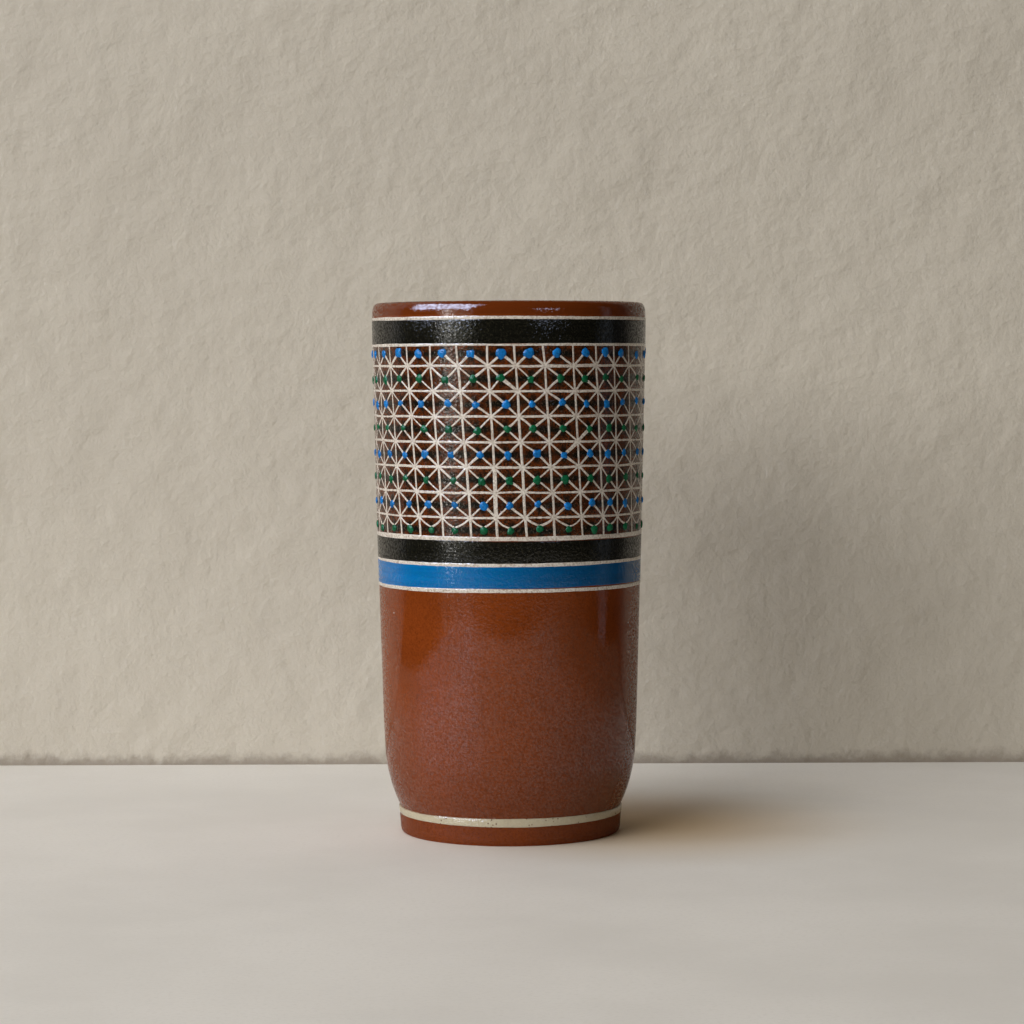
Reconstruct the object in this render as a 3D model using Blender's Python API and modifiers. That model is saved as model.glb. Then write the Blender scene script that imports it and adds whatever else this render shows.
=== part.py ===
"""A glazed red-earthenware vase with painted slip bands, a slip lattice and rows of raised dots.

Metres, +Z up. The origin is the centre of the foot ring's resting face, the vase's axis is +Z,
and the column of dots that faces the viewer is on the -Y side.

The clay body is put together as a potter lutes it: a foot ring with a rebated seat, a floor slab
that lies in the seat, and a turned wall that stands on the ring and traps the slab's edge. The
glaze lining and the painted layers follow the clay, each a small gap clear of what it lies on.
"""

import math

import bmesh
import bpy

# Driving sizes of the clay body.
HEIGHT = 0.203
RIM_RADIUS = 0.0521
SHOULDER_RADIUS = 0.04805
SHOULDER_Z = 0.034
WAIST_RADIUS = 0.0423
WAIST_Z = 0.0102
SWELL = 0.0004
LIP_HEIGHT = 0.0035
LIP_DEPTH = 0.0020
LIP_INNER_HEIGHT = 0.0030
LIP_INNER_DEPTH = 0.0019
RIM_THICKNESS = 0.0049
INNER_CORNER_RADIUS = 0.0350
INNER_SHOULDER_RADIUS = 0.0412
INNER_SHOULDER_Z = 0.0260

# Driving sizes of the foot ring and the floor slab.
FOOT_TOP_RADIUS = 0.0426
FOOT_LOWER_RADIUS = 0.0422
FOOT_REST_RADIUS = 0.0410
FOOT_ROUND_Z = 0.0032
FOOT_INNER_RADIUS = 0.0355
SEAT_RADIUS = 0.0383
SEAT_Z = 0.0049
FOOT_CHAMFER = 0.0008

# Layers laid on the clay: the gap under each layer, and how thick each one is.
GAP = 0.0003
SLIP_THICKNESS = 0.0003
GLAZE_THICKNESS = 0.0004
DOT_STROKE_THICKNESS = 0.0002
DOT_THICKNESS = 0.0012

# Heights of the painted bands, each from its lower edge to its upper edge.
FOOT_LINE = (0.0077, 0.0099)
BLUE_LOWER_LINE = (0.0957, 0.0968)
BLUE_BAND = (0.0971, 0.1051)
BLACK_LOWER_LINE = (0.1054, 0.1064)
LOWER_BLACK_BAND = (0.1067, 0.1147)
LATTICE_BOTTOM_LINE = (0.1150, 0.1162)
LATTICE_TOP_LINE = (0.1866, 0.1877)
UPPER_BLACK_BAND = (0.1880, 0.1961)
RIM_LINE = (0.1964, 0.1977)

# The lattice: columns of cells round the vase, rows of dots, and a small turn from top to bottom.
COLUMNS = 30
DOT_ROWS = 8
ROW_PITCH = 0.00933
TOP_DOT_ROW_Z = 0.1840
FIRST_LINE_ANGLE = math.radians(2.2 - 90)
TWIST = math.radians(5.4)
STROKE_WIDTH = 0.0012
DOT_WIDTH = 0.0034
DOT_HEIGHT = 0.0031
DOT_STROKE_HEIGHT = 0.0012

SEGMENTS = 2 * COLUMNS
WALL_STATIONS = 5
MERGE_DISTANCE = 0.00001
SHARP_ANGLE = math.radians(35)

COLOURS = {
    "terracotta": (0.168, 0.052, 0.021, 1.0),
    "clear_glaze": (0.140, 0.046, 0.022, 1.0),
    "cream_slip": (0.640, 0.560, 0.440, 1.0),
    "black_slip": (0.012, 0.012, 0.010, 1.0),
    "blue_slip": (0.006, 0.106, 0.300, 1.0),
    "blue_enamel": (0.012, 0.150, 0.480, 1.0),
    "green_enamel": (0.010, 0.100, 0.045, 1.0),
}
GLOSSY = 0.22
SATIN = 0.38


def start_collection(name):
    """Empties the scene and returns a new collection for the vase."""
    for old in list(bpy.data.objects):
        bpy.data.objects.remove(old)
    collection = bpy.data.collections.new(name)
    bpy.context.scene.collection.children.link(collection)
    return collection


def glaze_material(name, roughness):
    """A glossy non-metal in the colour of that name, made once."""
    material = bpy.data.materials.get(name)
    if material:
        return material
    material = bpy.data.materials.new(name)
    material.use_nodes = True
    surface = material.node_tree.nodes["Principled BSDF"]
    surface.inputs["Base Color"].default_value = COLOURS[name]
    surface.inputs["Roughness"].default_value = roughness
    surface.inputs["Metallic"].default_value = 0.0
    return material


def add_object(collection, name, mesh, colour, roughness=GLOSSY):
    """Puts a mesh in the scene as one named piece of that colour."""
    piece = bpy.data.objects.new(name, mesh)
    piece.data.materials.append(glaze_material(colour, roughness))
    collection.objects.link(piece)
    return piece


# The outline of the clay.


def wall_radius(z):
    """Outer radius of the tall wall, a cone with a slight swell, above the shoulder."""
    share = (z - SHOULDER_Z) / (HEIGHT - LIP_HEIGHT - SHOULDER_Z)
    return SHOULDER_RADIUS + (RIM_RADIUS - SHOULDER_RADIUS) * share + SWELL * 4 * share * (1 - share)


def foot_radius(z):
    """Outer radius of the foot ring, a cone above its rounded lower edge."""
    share = (z - FOOT_ROUND_Z) / (WAIST_Z - GAP - FOOT_ROUND_Z)
    return FOOT_LOWER_RADIUS + (FOOT_TOP_RADIUS - FOOT_LOWER_RADIUS) * share


def ellipse_arc(centre, half_width, half_height, start_deg, end_deg, steps):
    """Points along an ellipse in the (radius, height) plane, both ends included."""
    points = []
    for step in range(steps + 1):
        angle = math.radians(start_deg + (end_deg - start_deg) * step / steps)
        points.append((centre[0] + half_width * math.cos(angle), centre[1] + half_height * math.sin(angle)))
    return points


def shoulder_arc(steps):
    """The arc that leaves the wall at its own slope and draws in to the waist."""
    fall = SHOULDER_Z - WAIST_Z
    draw_in = SHOULDER_RADIUS - WAIST_RADIUS
    just_above = SHOULDER_Z + fall / 20
    start = math.atan((wall_radius(just_above) - SHOULDER_RADIUS) / (just_above - SHOULDER_Z))
    end = 2 * math.atan(draw_in / fall) - start
    radius = fall / (math.sin(end) - math.sin(start))
    points = []
    for step in range(1, steps + 1):
        angle = start + (end - start) * step / steps
        points.append(
            (
                SHOULDER_RADIUS - radius * (math.cos(start) - math.cos(angle)),
                SHOULDER_Z - radius * (math.sin(angle) - math.sin(start)),
            )
        )
    return points


def inner_corner_arc(inset, steps):
    """The rounded inner corner, from the floor up to the wall, drawn in by inset."""
    centre = (INNER_CORNER_RADIUS, INNER_SHOULDER_Z)
    half_width = INNER_SHOULDER_RADIUS - INNER_CORNER_RADIUS - inset
    half_height = INNER_SHOULDER_Z - WAIST_Z - inset
    return ellipse_arc(centre, half_width, half_height, -90, 0, steps)


def wall_outline():
    """The wall's closed outline: down its outer side, across its foot and up its inner side."""
    lip_z = HEIGHT - LIP_HEIGHT
    outer_lip = ellipse_arc((RIM_RADIUS - LIP_DEPTH, lip_z), LIP_DEPTH, LIP_HEIGHT, 90, 0, 3)
    outer_wall = []
    for station in range(1, WALL_STATIONS + 1):
        z = lip_z + (SHOULDER_Z - lip_z) * station / WALL_STATIONS
        outer_wall.append((wall_radius(z), z))
    inner_rim_radius = RIM_RADIUS - RIM_THICKNESS
    inner_lip_centre = (inner_rim_radius + LIP_INNER_DEPTH, HEIGHT - LIP_INNER_HEIGHT)
    inner_lip = ellipse_arc(inner_lip_centre, LIP_INNER_DEPTH, LIP_INNER_HEIGHT, 180, 90, 2)
    return outer_lip + outer_wall + shoulder_arc(4) + inner_corner_arc(0, 4) + inner_lip


# Turned pieces.


def outline_mesh(name, points, closed):
    """A mesh of edges through (radius, height) points, in the XZ plane."""
    mesh = bpy.data.meshes.new(name)
    edges = [(i, i + 1) for i in range(len(points) - 1)]
    if closed:
        edges.append((len(points) - 1, 0))
    mesh.from_pydata([(radius, 0, z) for radius, z in points], edges, [])
    return mesh


def turn(piece):
    """Sweeps the piece's outline once round the vase's axis."""
    screw = piece.modifiers.new("turn", "SCREW")
    screw.axis = "Z"
    screw.angle = math.tau
    screw.steps = screw.render_steps = SEGMENTS
    screw.use_merge_vertices = True
    screw.merge_threshold = MERGE_DISTANCE


def add_turned(collection, name, outline, colour, roughness=GLOSSY):
    """A turned solid from its closed outline, which runs down its outer side."""
    piece = add_object(collection, name, outline_mesh(name, outline, closed=True), colour, roughness)
    turn(piece)
    return piece


def add_band(collection, name, span, colour, radius_at=wall_radius):
    """A painted band of slip that follows the clay between two heights."""
    low, high = span
    inner = GAP
    outer = GAP + SLIP_THICKNESS
    outline = [
        (radius_at(high) + outer, high),
        (radius_at(low) + outer, low),
        (radius_at(low) + inner, low),
        (radius_at(high) + inner, high),
    ]
    return add_turned(collection, name, outline, colour)


def add_body_wall(collection):
    """The turned wall, from the waist up to its rounded lip."""
    return add_turned(collection, "body_wall", wall_outline(), "terracotta")


def add_foot_ring(collection):
    """The foot ring, with the rebated seat that carries the floor slab."""
    top_z = WAIST_Z - GAP
    round_depth = FOOT_LOWER_RADIUS - FOOT_REST_RADIUS
    lower_edge = ellipse_arc((FOOT_REST_RADIUS, FOOT_ROUND_Z), round_depth, FOOT_ROUND_Z, 0, -90, 3)
    outline = [(SEAT_RADIUS, top_z), (FOOT_TOP_RADIUS, top_z)]
    outline += lower_edge
    outline += [
        (FOOT_INNER_RADIUS + FOOT_CHAMFER, 0),
        (FOOT_INNER_RADIUS, FOOT_CHAMFER),
        (FOOT_INNER_RADIUS, SEAT_Z),
        (SEAT_RADIUS, SEAT_Z),
    ]
    return add_turned(collection, "foot_ring", outline, "terracotta", SATIN)


def add_floor_slab(collection):
    """The floor slab, lying in the foot ring's seat with its edge under the wall."""
    low = SEAT_Z + GAP
    high = WAIST_Z - GAP
    radius = SEAT_RADIUS - GAP
    mesh = bpy.data.meshes.new("floor_slab")
    shape = bmesh.new()
    bmesh.ops.create_cone(
        shape, cap_ends=True, segments=SEGMENTS, radius1=radius, radius2=radius, depth=high - low
    )
    shape.to_mesh(mesh)
    shape.free()
    piece = add_object(collection, "floor_slab", mesh, "terracotta", SATIN)
    piece.location.z = (low + high) / 2
    return piece


def add_inside_glaze(collection):
    """The clear glaze that lines the floor and the wall, which makes the vase hold water."""
    floor_z = WAIST_Z + GAP
    top_z = HEIGHT - LIP_INNER_HEIGHT
    rim = (RIM_RADIUS - RIM_THICKNESS - GAP, top_z)
    line = [(0, floor_z)] + inner_corner_arc(GAP, 3) + [rim]
    piece = add_object(collection, "inside_glaze", outline_mesh("inside_glaze", line, False), "clear_glaze")
    turn(piece)
    wall = piece.modifiers.new("thickness", "SOLIDIFY")
    wall.thickness = GLAZE_THICKNESS
    wall.offset = 1.0
    return piece


# The slip lattice and the dots.


def dot_row_z(row):
    """Height of a row of dots, counted down from the top."""
    return TOP_DOT_ROW_Z - row * ROW_PITCH


def line_angle(column, z):
    """Angle of a column line at a height: the columns turn a little on their way down."""
    top = LATTICE_TOP_LINE[0]
    bottom = LATTICE_BOTTOM_LINE[1]
    return FIRST_LINE_ANGLE + column * math.tau / COLUMNS + TWIST * (top - z) / (top - bottom)


def on_wall(angle, z, height_over_clay):
    """The point at that angle and height, that far out from the clay."""
    radius = wall_radius(z) + height_over_clay
    return (radius * math.cos(angle), radius * math.sin(angle), z)


def net_heights():
    """The net's row stations from bottom to top: its ends, and both edges of each ring line."""
    heights = [LATTICE_BOTTOM_LINE[1] + GAP]
    for row in reversed(range(DOT_ROWS - 1)):
        ring_z = (dot_row_z(row) + dot_row_z(row + 1)) / 2
        heights += [ring_z - STROKE_WIDTH / 2, ring_z + STROKE_WIDTH / 2]
    heights.append(LATTICE_TOP_LINE[0] - GAP)
    return heights


def add_lattice_net(collection):
    """The column lines and ring lines of the lattice, one net of slip wrapped on the wall."""
    heights = net_heights()
    rows = len(heights) - 1
    columns = 2 * COLUMNS
    shape = bmesh.new()
    bmesh.ops.create_grid(shape, x_segments=columns, y_segments=rows, size=0.5)

    windows = []
    for face in shape.faces:
        centre = face.calc_center_median()
        between_lines = int((centre.x + 0.5) * columns) % 2 == 1
        between_rings = int((centre.y + 0.5) * rows) % 2 == 0
        if between_lines and between_rings:
            windows.append(face)
    bmesh.ops.delete(shape, geom=windows, context="FACES")

    over_clay = 2 * GAP + DOT_STROKE_THICKNESS
    for corner in shape.verts:
        station = round((corner.co.x + 0.5) * columns)
        z = heights[round((corner.co.y + 0.5) * rows)]
        half_stroke = STROKE_WIDTH / 2 / wall_radius(z)
        side = half_stroke if station % 2 else -half_stroke
        corner.co = on_wall(line_angle(station // 2, z) + side, z, over_clay)
    bmesh.ops.remove_doubles(shape, verts=shape.verts, dist=MERGE_DISTANCE)

    mesh = bpy.data.meshes.new("lattice_net")
    shape.to_mesh(mesh)
    shape.free()
    piece = add_object(collection, "lattice_net", mesh, "cream_slip")
    thickness = piece.modifiers.new("thickness", "SOLIDIFY")
    thickness.thickness = SLIP_THICKNESS
    thickness.offset = 1.0
    return piece


def dot_row_sections(z):
    """The sections round one row: a thin stroke that swells into a dot midway between two lines.
    Each section is (angle, half height, thickness)."""
    half_dot = DOT_WIDTH / 2 / wall_radius(z)
    sections = []
    for column in range(COLUMNS):
        middle = line_angle(column + 0.5, z)
        for share in (-1.0, -0.5, 0.5, 1.0):
            in_dot = abs(share) < 1
            half_height = (DOT_HEIGHT if in_dot else DOT_STROKE_HEIGHT) / 2
            thickness = DOT_THICKNESS if in_dot else DOT_STROKE_THICKNESS
            sections.append((middle + share * half_dot, half_height, thickness))
    return sections


def add_dot_row(collection, name, row, colour):
    """One row of raised dots on the thin dark stroke that runs through them, lofted as one ring."""
    z = dot_row_z(row)
    shape = bmesh.new()
    loops = []
    for angle, half_height, thickness in dot_row_sections(z):
        corners = [
            on_wall(angle, z + half_height, GAP),
            on_wall(angle, z, GAP + thickness),
            on_wall(angle, z - half_height, GAP),
        ]
        loops.append([shape.verts.new(corner) for corner in corners])
    for here, there in zip(loops, loops[1:] + loops[:1]):
        for i in range(3):
            j = (i + 1) % 3
            shape.faces.new((here[i], here[j], there[j], there[i]))
    bmesh.ops.recalc_face_normals(shape, faces=shape.faces)
    mesh = bpy.data.meshes.new(name)
    shape.to_mesh(mesh)
    shape.free()
    return add_object(collection, name, mesh, colour)


def shade(piece):
    """Smooth shading with the real edges kept sharp."""
    piece.data.shade_smooth()
    piece.data.set_sharp_from_angle(angle=SHARP_ANGLE)


def main():
    vase = start_collection("slip_decorated_vase")

    add_foot_ring(vase)
    add_floor_slab(vase)
    add_body_wall(vase)
    add_inside_glaze(vase)

    add_band(vase, "foot_line", FOOT_LINE, "cream_slip", foot_radius)
    add_band(vase, "blue_lower_line", BLUE_LOWER_LINE, "cream_slip")
    add_band(vase, "blue_band", BLUE_BAND, "blue_slip")
    add_band(vase, "black_lower_line", BLACK_LOWER_LINE, "cream_slip")
    add_band(vase, "lower_black_band", LOWER_BLACK_BAND, "black_slip")
    add_band(vase, "lattice_bottom_line", LATTICE_BOTTOM_LINE, "cream_slip")
    add_band(vase, "lattice_top_line", LATTICE_TOP_LINE, "cream_slip")
    add_band(vase, "upper_black_band", UPPER_BLACK_BAND, "black_slip")
    add_band(vase, "rim_line", RIM_LINE, "cream_slip")

    add_lattice_net(vase)
    for row in range(DOT_ROWS):
        colour = "green" if row % 2 else "blue"
        add_dot_row(vase, f"{colour}_dot_row_{row // 2 + 1}", row, f"{colour}_enamel")

    for piece in vase.objects:
        shade(piece)


main()
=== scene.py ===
"""The finished looks of a glazed red-earthenware vase: its turned clay, its painted slip bands, the
slip lattice with its rows of raised dots, and a plain studio to see it in."""

import math

import bpy
import numpy as np
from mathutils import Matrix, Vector


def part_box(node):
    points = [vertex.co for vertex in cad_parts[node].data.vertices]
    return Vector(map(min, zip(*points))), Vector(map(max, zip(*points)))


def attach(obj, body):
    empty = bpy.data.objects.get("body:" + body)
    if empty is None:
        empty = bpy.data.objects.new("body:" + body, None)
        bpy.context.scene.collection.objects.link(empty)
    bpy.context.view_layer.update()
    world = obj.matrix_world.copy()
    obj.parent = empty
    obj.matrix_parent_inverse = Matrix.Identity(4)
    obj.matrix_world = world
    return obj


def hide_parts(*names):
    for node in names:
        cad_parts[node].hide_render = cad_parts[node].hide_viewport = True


bl_info = {
    "name": "Slip-Decorated Vase",
    "version": (1, 0, 0),
    "blender": (4, 5, 0),
    "location": "3D View > Sidebar > Vase",
    "description": "Builds a glazed earthenware vase with painted bands, a slip lattice and raised dots",
    "category": "Add Mesh",
}

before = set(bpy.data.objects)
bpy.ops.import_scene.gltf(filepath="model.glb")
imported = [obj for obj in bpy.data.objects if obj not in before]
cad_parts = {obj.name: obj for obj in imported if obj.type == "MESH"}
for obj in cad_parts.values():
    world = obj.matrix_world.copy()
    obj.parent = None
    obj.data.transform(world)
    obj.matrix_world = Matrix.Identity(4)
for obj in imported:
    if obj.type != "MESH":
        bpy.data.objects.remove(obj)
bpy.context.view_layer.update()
BOXES = {node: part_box(node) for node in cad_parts}

BODY = "root"
DOT_ROWS = (
    "blue_dot_row_1",
    "green_dot_row_1",
    "blue_dot_row_2",
    "green_dot_row_2",
    "blue_dot_row_3",
    "green_dot_row_3",
    "blue_dot_row_4",
    "green_dot_row_4",
)
FRONT = -math.pi / 2
TINY = 1e-5
MILLIMETRE = 0.001
# How deep slip and enamel are bedded in the glaze under them.
BEDDING = 0.00008
# Features to the metre of the finest grain in the glaze and of the finest grain in its surface.
FINE_GRAIN = 1150
SURFACE_GRAIN = 1050
# The longest straight run in an outline that is still smoothed well.
LONGEST_RUN = 0.02
# Steps that a smooth outline takes from point to point.
SMOOTH_STEPS = 8
# Waves round the vase in the stray of a painted edge, and the share of each.
STRAY_WAVES = ((1, 0.5), (2, 0.5), (3, 0.45), (5, 0.4), (9, 0.25), (17, 0.2), (41, 0.15), (83, 0.1))


# Sizes and colours that a user would change.


class VaseClay(bpy.types.PropertyGroup):
    """How the clay is turned and glazed."""

    glaze_coat: bpy.props.FloatProperty(
        name="Glaze Coat",
        description="Thickness of the clear glaze on the outside",
        default=0.0003,
        min=0.0001,
        max=0.001,
        precision=5,
        unit="LENGTH",
    )
    lip_height: bpy.props.FloatProperty(
        name="Lip Height",
        description="Height of the rounded lip, over which the glaze builds up",
        default=0.0036,
        precision=5,
        unit="LENGTH",
    )
    ring_depth: bpy.props.FloatProperty(
        name="Throwing Ring Depth",
        description="Height of the soft rings that turning leaves on the wall",
        default=0.000004,
        min=0.0,
        max=0.0005,
        precision=5,
        unit="LENGTH",
    )
    out_of_round: bpy.props.FloatProperty(
        name="Out of Round",
        description="How far the wall strays from a true circle",
        default=0.00008,
        min=0.0,
        max=0.001,
        precision=5,
        unit="LENGTH",
    )
    segments: bpy.props.IntProperty(
        name="Segments",
        description="Facets round the vase",
        default=256,
        min=64,
        max=512,
    )


class VasePainting(bpy.types.PropertyGroup):
    """How the slip is painted."""

    band_thickness: bpy.props.FloatProperty(
        name="Band Thickness",
        description="Thickness of the black and blue bands",
        default=0.00010,
        precision=5,
        unit="LENGTH",
    )
    line_thickness: bpy.props.FloatProperty(
        name="Line Thickness",
        description="Thickness of the cream lines that edge the bands",
        default=0.00018,
        precision=5,
        unit="LENGTH",
    )
    band_overlap: bpy.props.FloatProperty(
        name="Band Overlap",
        description="How far a band runs under the cream line beside it",
        default=0.0004,
        precision=5,
        unit="LENGTH",
    )
    line_growth: bpy.props.FloatProperty(
        name="Line Growth",
        description="How far the lower cream lines spread and the upper ones shrink, on each side",
        default=0.00012,
        precision=5,
        unit="LENGTH",
    )
    edge_wander: bpy.props.FloatProperty(
        name="Edge Wander",
        description="How far a painted edge strays up and down",
        default=0.00013,
        precision=5,
        unit="LENGTH",
    )
    stroke_width: bpy.props.FloatProperty(
        name="Stroke Width",
        description="Width of the column lines and ring lines",
        default=0.00106,
        precision=5,
        unit="LENGTH",
    )
    stroke_thickness: bpy.props.FloatProperty(
        name="Stroke Thickness",
        description="Thickness of the lattice's slip",
        default=0.00013,
        precision=5,
        unit="LENGTH",
    )
    columns: bpy.props.IntProperty(
        name="Columns",
        description="Columns of cells round the vase",
        default=30,
        min=8,
        max=60,
    )
    first_column: bpy.props.FloatProperty(
        name="First Column",
        description="Turn of the first column line from the vase's front, at the lattice's top",
        default=math.radians(2.2),
        subtype="ANGLE",
        unit="ROTATION",
    )
    lean: bpy.props.FloatProperty(
        name="Lean",
        description="How far the column lines turn on their way down",
        default=math.radians(5.4),
        subtype="ANGLE",
        unit="ROTATION",
    )
    dot_width: bpy.props.FloatProperty(
        name="Dot Width",
        description="Usual width of a dot",
        default=0.0031,
        precision=5,
        unit="LENGTH",
    )
    dot_thickness: bpy.props.FloatProperty(
        name="Dot Thickness",
        description="How far a dot stands off the wall",
        default=0.0005,
        precision=5,
        unit="LENGTH",
    )
    seed: bpy.props.IntProperty(
        name="Seed",
        description="Start of the hand's small irregularities",
        default=7,
    )


class VaseColours(bpy.types.PropertyGroup):
    """The colours of the clay, the slips and the enamels."""

    terracotta: bpy.props.FloatVectorProperty(
        name="Terracotta",
        description="Red clay under clear glaze",
        subtype="COLOR",
        size=4,
        min=0,
        max=1,
        default=(0.215, 0.044, 0.0075, 1),
    )
    dark_stroke: bpy.props.FloatVectorProperty(
        name="Dark Stroke",
        description="Thin dark slip brushed through the dots",
        subtype="COLOR",
        size=4,
        min=0,
        max=1,
        default=(0.008, 0.008, 0.006, 1),
    )
    cream: bpy.props.FloatVectorProperty(
        name="Cream",
        description="Cream slip",
        subtype="COLOR",
        size=4,
        min=0,
        max=1,
        default=(0.77, 0.725, 0.665, 1),
    )
    foot_cream: bpy.props.FloatVectorProperty(
        name="Foot Cream",
        description="Yellower cream slip of the line at the foot",
        subtype="COLOR",
        size=4,
        min=0,
        max=1,
        default=(0.50, 0.45, 0.32, 1),
    )
    black: bpy.props.FloatVectorProperty(
        name="Black",
        description="Black slip",
        subtype="COLOR",
        size=4,
        min=0,
        max=1,
        default=(0.007, 0.007, 0.005, 1),
    )
    blue: bpy.props.FloatVectorProperty(
        name="Blue",
        description="Blue slip of the band",
        subtype="COLOR",
        size=4,
        min=0,
        max=1,
        default=(0.002, 0.145, 0.43, 1),
    )
    blue_dot: bpy.props.FloatVectorProperty(
        name="Blue Dot",
        description="Blue enamel of the dots",
        subtype="COLOR",
        size=4,
        min=0,
        max=1,
        default=(0.008, 0.19, 0.58, 1),
    )
    green_dot: bpy.props.FloatVectorProperty(
        name="Green Dot",
        description="Green enamel of the dots",
        subtype="COLOR",
        size=4,
        min=0,
        max=1,
        default=(0.006, 0.125, 0.05, 1),
    )


class VaseStudio(bpy.types.PropertyGroup):
    """The bench, the backdrop, the lights and the camera."""

    backdrop_distance: bpy.props.FloatProperty(
        name="Backdrop Distance",
        description="From the vase's axis back to the backdrop",
        default=0.19,
        unit="LENGTH",
    )
    bench_front: bpy.props.FloatProperty(
        name="Bench Front",
        description="From the vase's axis forward to the bench's edge",
        default=0.56,
        unit="LENGTH",
    )
    bench_width: bpy.props.FloatProperty(
        name="Bench Width",
        description="Width of the bench",
        default=1.1,
        unit="LENGTH",
    )
    window_power: bpy.props.FloatProperty(
        name="Window Power",
        description="Power of the large soft light at the left",
        default=76.0,
        unit="POWER",
    )
    side_power: bpy.props.FloatProperty(
        name="Side Power",
        description="Power of the soft light beside the window",
        default=19.0,
        unit="POWER",
    )
    pane_power: bpy.props.FloatProperty(
        name="Pane Power",
        description="Power of the window as the glaze mirrors it",
        default=135.0,
        unit="POWER",
    )
    garden_brightness: bpy.props.FloatProperty(
        name="Garden Brightness",
        description="Brightness of the leafy view under the window's sky, as the glaze mirrors it",
        default=4.5,
    )
    overhead_power: bpy.props.FloatProperty(
        name="Overhead Power",
        description="Power of the faint light overhead",
        default=7.0,
        unit="POWER",
    )
    strip_power: bpy.props.FloatProperty(
        name="Strip Power",
        description="Power of the narrow cool light that the glaze mirrors at the right",
        default=0.17,
        unit="POWER",
    )
    camera_distance: bpy.props.FloatProperty(
        name="Camera Distance",
        description="From the vase's axis to the camera",
        default=1.139,
        unit="LENGTH",
    )
    camera_height: bpy.props.FloatProperty(
        name="Camera Height",
        description="Height of the camera over the bench",
        default=0.1809,
        unit="LENGTH",
    )


# Small tools for modelling.


def deselect_all():
    """Leaves edit mode and selects nothing."""
    if bpy.context.object and bpy.context.object.mode != "OBJECT":
        bpy.ops.object.mode_set(mode="OBJECT")
    bpy.ops.object.select_all(action="DESELECT")


def take_primitive(name):
    """Names the primitive that was just added, puts its place in its mesh and starts to edit it."""
    piece = bpy.context.object
    piece.name = name
    piece.data.name = name
    bpy.ops.object.transform_apply(location=True, rotation=True, scale=True)
    bpy.ops.object.mode_set(mode="EDIT")
    return piece


def close_edit():
    """Merges doubles, turns all faces outwards and leaves edit mode."""
    bpy.ops.mesh.select_all(action="SELECT")
    bpy.ops.mesh.remove_doubles(threshold=TINY / 10)
    bpy.ops.mesh.normals_make_consistent(inside=False)
    bpy.ops.object.mode_set(mode="OBJECT")


def read_points(mesh):
    """The vertices of a mesh as an array."""
    points = np.empty(len(mesh.vertices) * 3)
    mesh.vertices.foreach_get("co", points)
    return points.reshape(-1, 3)


def write_points(mesh, points):
    """Puts changed vertices back in a mesh."""
    mesh.vertices.foreach_set("co", np.ascontiguousarray(points, dtype=np.float32).ravel())
    mesh.update()


def turn_outline(name, outline, segments, ends="BRIDGE"):
    """Turns (radius, height) points round the axis: a circle is extruded from point to point, and its
    two open ends are bridged to each other or filled."""
    deselect_all()
    radius, height = outline[0]
    bpy.ops.mesh.primitive_circle_add(vertices=segments, radius=radius, location=(0, 0, height))
    piece = take_primitive(name)
    bpy.ops.mesh.select_all(action="SELECT")
    for next_radius, next_height in outline[1:]:
        bpy.ops.mesh.extrude_region_move(TRANSFORM_OT_translate={"value": (0, 0, next_height - height)})
        grow = next_radius / radius
        bpy.ops.transform.resize(value=(grow, grow, 1), center_override=(0, 0, next_height))
        radius, height = next_radius, next_height
    bpy.ops.mesh.select_all(action="DESELECT")
    bpy.ops.mesh.select_non_manifold()
    if ends == "BRIDGE":
        bpy.ops.mesh.bridge_edge_loops()
    else:
        bpy.ops.mesh.fill_holes(sides=0)
    close_edit()
    return piece


def finish_piece(piece, material, nodes, sharp=math.radians(50)):
    """Shades a piece, gives it its material and tells the frame what it stands for."""
    deselect_all()
    piece.select_set(True)
    bpy.context.view_layer.objects.active = piece
    bpy.ops.object.shade_smooth_by_angle(angle=sharp)
    piece.data.materials.clear()
    piece.data.materials.append(material)
    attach(piece, BODY)
    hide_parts(*nodes)


# The outline of the clay, from the frame.


def cad_side(node, outward):
    """The (radius, height) points on the outer or the inner side of a turned CAD node, bottom first."""
    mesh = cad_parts[node].data
    found = {}
    for face in mesh.polygons:
        away = Vector((face.center.x, face.center.y, 0)).normalized()
        if outward * face.normal.dot(away) < 0.2:
            continue
        for index in face.vertices:
            corner = mesh.vertices[index].co
            if abs(corner.y) < TINY and corner.x > 0:
                found[round(corner.z, 6)] = corner.x
    return [(found[height], height) for height in sorted(found)]


def spaced(points, gap):
    """The same line with points added along its straight runs, none longer than the gap, so that a
    smooth curve through them stays straight there."""
    line = [points[0]]
    for start, end in zip(points, points[1:]):
        pieces = max(1, math.ceil(math.dist(start, end) / gap))
        for piece in range(1, pieces + 1):
            share = piece / pieces
            line.append((start[0] + (end[0] - start[0]) * share, start[1] + (end[1] - start[1]) * share))
    return line


def smooth_line(points, steps):
    """A smooth curve through (radius, height) points, as a finer list of such points."""
    curve = bpy.data.curves.new("outline", "CURVE")
    curve.dimensions = "3D"
    curve.resolution_u = steps
    spline = curve.splines.new("BEZIER")
    spline.bezier_points.add(len(points) - 1)
    for knot, (radius, height) in zip(spline.bezier_points, points):
        knot.co = (radius, 0, height)
        knot.handle_left_type = knot.handle_right_type = "AUTO"
    holder = bpy.data.objects.new("outline", curve)
    bpy.context.scene.collection.objects.link(holder)
    bpy.context.view_layer.update()
    line = bpy.data.meshes.new_from_object(holder.evaluated_get(bpy.context.evaluated_depsgraph_get()))
    fine = [(corner.co.x, corner.co.z) for corner in line.vertices]
    bpy.data.objects.remove(holder)
    bpy.data.curves.remove(curve)
    bpy.data.meshes.remove(line)
    return fine


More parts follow.
